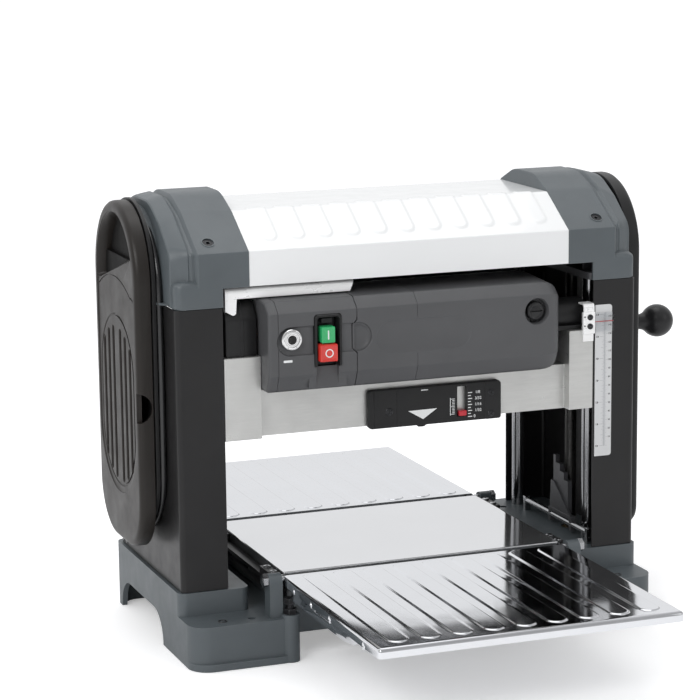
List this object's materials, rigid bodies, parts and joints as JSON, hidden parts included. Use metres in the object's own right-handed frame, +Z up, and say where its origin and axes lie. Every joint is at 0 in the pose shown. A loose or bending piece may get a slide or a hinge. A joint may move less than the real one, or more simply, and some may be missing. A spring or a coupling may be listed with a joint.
{
  "type": "thickness planer",
  "caption": "Bench-top thickness planer: cutter head on posts and lead screws under a top cover, side crank, folding infeed and outfeed tables, front switch and height scale.",
  "frame": {"origin": "on the bench plane, under the centre of the bed and midway between the four bench bolt holes", "axes": "+Z up; +Y is the feed direction, from the operator at the infeed side to the outfeed side; +X towards the crank"},
  "size_m": [0.6764, 0.822, 0.5],
  "materials": {
    "slate_casting": "satin",
    "cast_bed": "satin",
    "polished_steel": "polished",
    "mirror_steel": "polished",
    "black_sheet": "satin",
    "ground_steel": "ground",
    "dark_frame": "satin",
    "white_paint": "gloss",
    "black_screw": "black oxide",
    "brown_black_plastic": "satin moulded",
    "black_plastic": "satin moulded",
    "cord_rubber": "matte",
    "scale_white": "satin",
    "bearing_bronze": "machined",
    "head_silver": "satin cast",
    "motor_grey": "satin moulded",
    "belt_rubber": "matte",
    "copper_winding": "varnished",
    "bright_ring": "polished",
    "button_green": "gloss",
    "button_red": "gloss",
    "pointer_red": "gloss",
    "roller_rubber": "ground",
    "spring_steel": "bright",
    "knob_black": "satin"
  },
  "bodies": {
    "frame": {"base_casting": "slate_casting", "bed_casting": "cast_bed", "bed_plate": "polished_steel", "left_column": "black_sheet", "right_column": "black_sheet", "guide_posts": "ground_steel", "top_plates": "dark_frame", "top_frame": "dark_frame", "top_cover": "white_paint", "left_end_cap": "slate_casting", "right_end_cap": "slate_casting", "cap_screws": "black_screw", "left_side_cover": "brown_black_plastic", "right_side_cover": "black_plastic", "cord_wrap_plate": "black_plastic", "power_cord": "cord_rubber", "height_scale": "scale_white", "lift_bearings": "bearing_bronze", "bed_rails": "black_sheet", "table_pivot_bolts": "ground_steel", "table_level_bolts": "ground_steel", "depth_stop_rod": "ground_steel"},
    "head": {"head_casting": "head_silver", "motor_housing": "motor_grey", "belt_cover": "black_plastic", "drive_belt": "belt_rubber", "feed_chain": "ground_steel", "motor_stator": "copper_winding", "head_bearings": "ground_steel", "switch_bezel": "black_plastic", "reset_ring": "bright_ring", "motor_brushes": "black_plastic", "dust_hood": "black_plastic", "gauge_plate": "black_plastic", "scale_pointer": "bright_ring", "lift_nuts": "bearing_bronze", "post_bushes": "bearing_bronze", "gear_cover": "black_plastic", "infeed_roller_springs": "spring_steel", "outfeed_roller_springs": "spring_steel"},
    "crank": {"crank_arm": "dark_frame"},
    "crank_grip": {"crank_knob": "knob_black"},
    "left_screw": {"lead_screw_left": "ground_steel"},
    "right_screw": {"lead_screw_right": "ground_steel"},
    "cutterhead": {"cutterhead_drum": "ground_steel", "cutter_knives": "polished_steel", "gib_bars": "dark_frame"},
    "motor_rotor": {"motor_armature": "copper_winding"},
    "infeed_carriage": {"infeed_roller_blocks": "dark_frame"},
    "outfeed_carriage": {"outfeed_roller_blocks": "dark_frame"},
    "infeed_feed_roller": {"infeed_roller": "roller_rubber"},
    "outfeed_feed_roller": {"outfeed_roller": "roller_rubber"},
    "infeed_leaf": {"infeed_table": "mirror_steel"},
    "outfeed_leaf": {"outfeed_table": "mirror_steel"},
    "start_key": {"start_button": "button_green"},
    "stop_key": {"stop_button": "button_red"},
    "reset_key": {"reset_button": "black_plastic"},
    "cut_gauge_foot": {"gauge_foot": "black_plastic"},
    "cut_gauge_pointer": {"gauge_pointer": "pointer_red"},
    "depth_stop": {"depth_stop_block": "dark_frame"}
  },
  "joints": [
    {"name": "head_lift", "type": "slide", "parent": "frame", "child": "head", "axis": [0, 0, 1], "range_m": [-0.1388, 0.0104]},
    {"name": "crank_turn", "type": "hinge", "parent": "frame", "child": "crank", "pos_m": [0.3, 0.008, 0.423], "axis": [1, 0, 0], "continuous": true},
    {"name": "crank_grip_spin", "type": "hinge", "parent": "crank", "child": "crank_grip", "pos_m": [0.352, 0.01, 0.315], "axis": [1, 0, 0], "continuous": true},
    {"name": "left_screw_turn", "type": "hinge", "parent": "frame", "child": "left_screw", "pos_m": [-0.24, 0.008, 0.2], "axis": [0, 0, 1], "continuous": true},
    {"name": "right_screw_turn", "type": "hinge", "parent": "frame", "child": "right_screw", "pos_m": [0.24, 0.008, 0.2], "axis": [0, 0, 1], "continuous": true},
    {"name": "cutter_spin", "type": "hinge", "parent": "head", "child": "cutterhead", "pos_m": [0, 0.012, 0.262], "axis": [1, 0, 0], "continuous": true},
    {"name": "motor_spin", "type": "hinge", "parent": "head", "child": "motor_rotor", "pos_m": [0, -0.062, 0.35], "axis": [1, 0, 0], "continuous": true},
    {"name": "infeed_roller_float", "type": "slide", "parent": "head", "child": "infeed_carriage", "axis": [0, 0, 1], "range_m": [0, 0.0025], "stiffness_N_per_m": 4000, "springref_m": -0.004, "deforming": ["infeed_roller_springs"]},
    {"name": "infeed_roller_spin", "type": "hinge", "parent": "infeed_carriage", "child": "infeed_feed_roller", "pos_m": [0, -0.038, 0.253], "axis": [1, 0, 0], "continuous": true},
    {"name": "outfeed_roller_float", "type": "slide", "parent": "head", "child": "outfeed_carriage", "axis": [0, 0, 1], "range_m": [0, 0.0025], "stiffness_N_per_m": 4000, "springref_m": -0.004, "deforming": ["outfeed_roller_springs"]},
    {"name": "outfeed_roller_spin", "type": "hinge", "parent": "outfeed_carriage", "child": "outfeed_feed_roller", "pos_m": [0, 0.062, 0.253], "axis": [1, 0, 0], "continuous": true},
    {"name": "infeed_table_fold", "type": "hinge", "parent": "frame", "child": "infeed_leaf", "pos_m": [0, -0.123, 0.09], "axis": [-1, 0, 0], "range_deg": [0, 80]},
    {"name": "outfeed_table_fold", "type": "hinge", "parent": "frame", "child": "outfeed_leaf", "pos_m": [0, 0.123, 0.09], "axis": [1, 0, 0], "range_deg": [0, 80]},
    {"name": "start_press", "type": "slide", "parent": "head", "child": "start_key", "axis": [0, 1, 0], "range_m": [0, 0.003], "stiffness_N_per_m": 300, "springref_m": -0.002},
    {"name": "stop_press", "type": "slide", "parent": "head", "child": "stop_key", "axis": [0, 1, 0], "range_m": [0, 0.003], "stiffness_N_per_m": 300, "springref_m": -0.002},
    {"name": "reset_press", "type": "slide", "parent": "head", "child": "reset_key", "axis": [0, 1, 0], "range_m": [0, 0.002], "stiffness_N_per_m": 300, "springref_m": -0.002},
    {"name": "gauge_foot_lift", "type": "slide", "parent": "head", "child": "cut_gauge_foot", "axis": [0, 0, 1], "range_m": [0, 0.0032], "stiffness_N_per_m": 60, "springref_m": -0.002},
    {"name": "gauge_pointer_rise", "type": "slide", "parent": "head", "child": "cut_gauge_pointer", "axis": [0, 0, 1], "range_m": [0, 0.0225]},
    {"name": "depth_stop_slide", "type": "slide", "parent": "frame", "child": "depth_stop", "axis": [0, 1, 0], "range_m": [-0.012, 0.04]}
  ],
  "couplings": [
    {"joint": "crank_turn", "follows": "head_lift", "rad_per_m": 3957.9},
    {"joint": "left_screw_turn", "follows": "head_lift", "rad_per_m": 3957.9},
    {"joint": "right_screw_turn", "follows": "head_lift", "rad_per_m": -3957.9},
    {"joint": "motor_spin", "follows": "cutter_spin", "ratio": 1.4065},
    {"joint": "infeed_roller_spin", "follows": "cutter_spin", "ratio": -0.0086},
    {"joint": "outfeed_roller_spin", "follows": "cutter_spin", "ratio": -0.0086},
    {"joint": "gauge_pointer_rise", "follows": "gauge_foot_lift", "ratio": 7}
  ]
}
